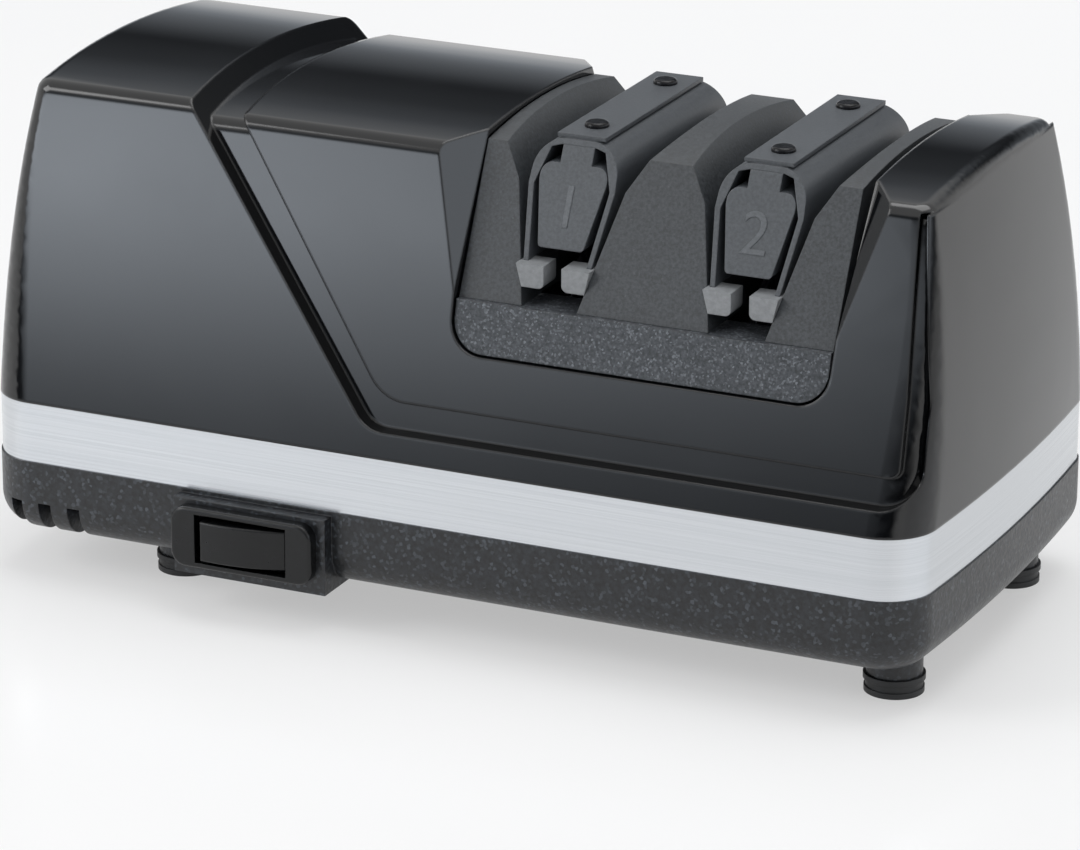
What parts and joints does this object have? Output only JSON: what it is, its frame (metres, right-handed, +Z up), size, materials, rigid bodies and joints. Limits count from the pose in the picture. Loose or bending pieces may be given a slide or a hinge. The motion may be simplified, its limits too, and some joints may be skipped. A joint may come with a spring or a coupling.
{
  "type": "electric knife sharpener",
  "caption": "Mains electric knife sharpener: gloss housing on a textured tray, steel band, paired spring blade guides over conical abrasive discs, side rocker switch.",
  "frame": {"origin": "bottom centre of the bounding box, on the table", "axes": "+X along the length towards the guides, -Y the front with the switch, +Z up"},
  "size_m": [0.2286, 0.1279, 0.1143],
  "materials": {
    "gloss_housing": "high gloss black moulding",
    "bright_band": "finely brushed, bright",
    "spark_tray": "black, eroded sparkle texture",
    "black_rubber": "matte black",
    "switch_plastic": "satin black",
    "grey_guide": "fine grain, warm grey",
    "coarse_ledge": "coarse sparkle grain",
    "pale_stop": "smooth light grey",
    "black_screw": "black, domed",
    "steel_shaft": "ground",
    "diamond_disc": "coated with abrasive grain",
    "spring_steel": "drawn wire",
    "bronze_bush": "sintered",
    "zinc_bracket": "zinc plated sheet",
    "motor_iron": "laminated, varnished",
    "copper_wire": "enamelled copper windings",
    "carbon": "pressed carbon",
    "fan_plastic": "plain moulding",
    "magnet": "ferrite bar"
  },
  "bodies": {
    "case": {"upper_housing": "gloss_housing", "trim_band": "bright_band", "base_tray": "spark_tray", "rubber_foot_front_left": "black_rubber", "rubber_foot_front_right": "black_rubber", "rubber_foot_rear_right": "black_rubber", "rubber_foot_rear_left": "black_rubber", "switch_bezel": "switch_plastic", "switch_body": "switch_plastic", "guide_base": "coarse_ledge", "guide_tower_left": "grey_guide", "guide_tower_middle": "grey_guide", "guide_tower_right": "grey_guide", "guide_screws": "black_screw", "motor_bracket_left": "zinc_bracket", "motor_bracket_right": "zinc_bracket", "end_bracket": "zinc_bracket", "motor_bush_left": "bronze_bush", "motor_bush_right": "bronze_bush", "end_bush": "bronze_bush", "motor_stator": "motor_iron", "field_winding_front": "copper_wire", "field_winding_rear": "copper_wire", "carbon_brushes": "carbon", "cord_gland": "black_rubber", "case_screws": "steel_shaft", "stage_1_spring_guide": "grey_guide", "stage_1_number_block": "grey_guide", "stage_1_blade_stops_front": "pale_stop", "stage_1_blade_stops_rear": "pale_stop", "stage_2_spring_guide": "grey_guide", "stage_2_number_block": "grey_guide", "stage_2_blade_stops_front": "pale_stop", "stage_2_blade_stops_rear": "pale_stop"},
    "rotor": {"drive_shaft": "steel_shaft", "stop_collars": "steel_shaft", "rotor_core": "motor_iron", "commutator": "copper_wire", "cooling_fan": "fan_plastic", "disc_spring_1": "spring_steel", "disc_spring_2": "spring_steel"},
    "rocker": {"switch_rocker": "switch_plastic"},
    "clean_out": {"cleanout_cover": "switch_plastic", "shavings_magnet": "magnet"},
    "disc_1": {"abrasive_disc_1": "diamond_disc"},
    "disc_2": {"abrasive_disc_2": "diamond_disc"},
    "disc_3": {"abrasive_disc_3": "diamond_disc"},
    "disc_4": {"abrasive_disc_4": "diamond_disc"}
  },
  "joints": [
    {"name": "rotor_spin", "type": "hinge", "parent": "case", "child": "rotor", "pos_m": [0, 0, 0.0585], "axis": [1, 0, 0], "continuous": true},
    {"name": "disc_1_yield", "type": "slide", "parent": "rotor", "child": "disc_1", "axis": [1, 0, 0], "range_m": [0, 0.001], "stiffness_N_per_m": 600, "springref_m": -0.004, "deforming": ["disc_spring_1"]},
    {"name": "disc_2_yield", "type": "slide", "parent": "rotor", "child": "disc_2", "axis": [-1, 0, 0], "range_m": [0, 0.001], "stiffness_N_per_m": 600, "springref_m": -0.004, "deforming": ["disc_spring_1"]},
    {"name": "disc_3_yield", "type": "slide", "parent": "rotor", "child": "disc_3", "axis": [1, 0, 0], "range_m": [0, 0.001], "stiffness_N_per_m": 600, "springref_m": -0.004, "deforming": ["disc_spring_2"]},
    {"name": "disc_4_yield", "type": "slide", "parent": "rotor", "child": "disc_4", "axis": [-1, 0, 0], "range_m": [0, 0.001], "stiffness_N_per_m": 600, "springref_m": -0.004, "deforming": ["disc_spring_2"]},
    {"name": "rocker_tip", "type": "hinge", "parent": "case", "child": "rocker", "pos_m": [-0.044, -0.05645, 0.0182], "axis": [0, 0, 1], "range_deg": [-14, 0]},
    {"name": "clean_out_drop", "type": "slide", "parent": "case", "child": "clean_out", "axis": [0, 0, -1], "range_m": [0, 0.006]}
  ]
}
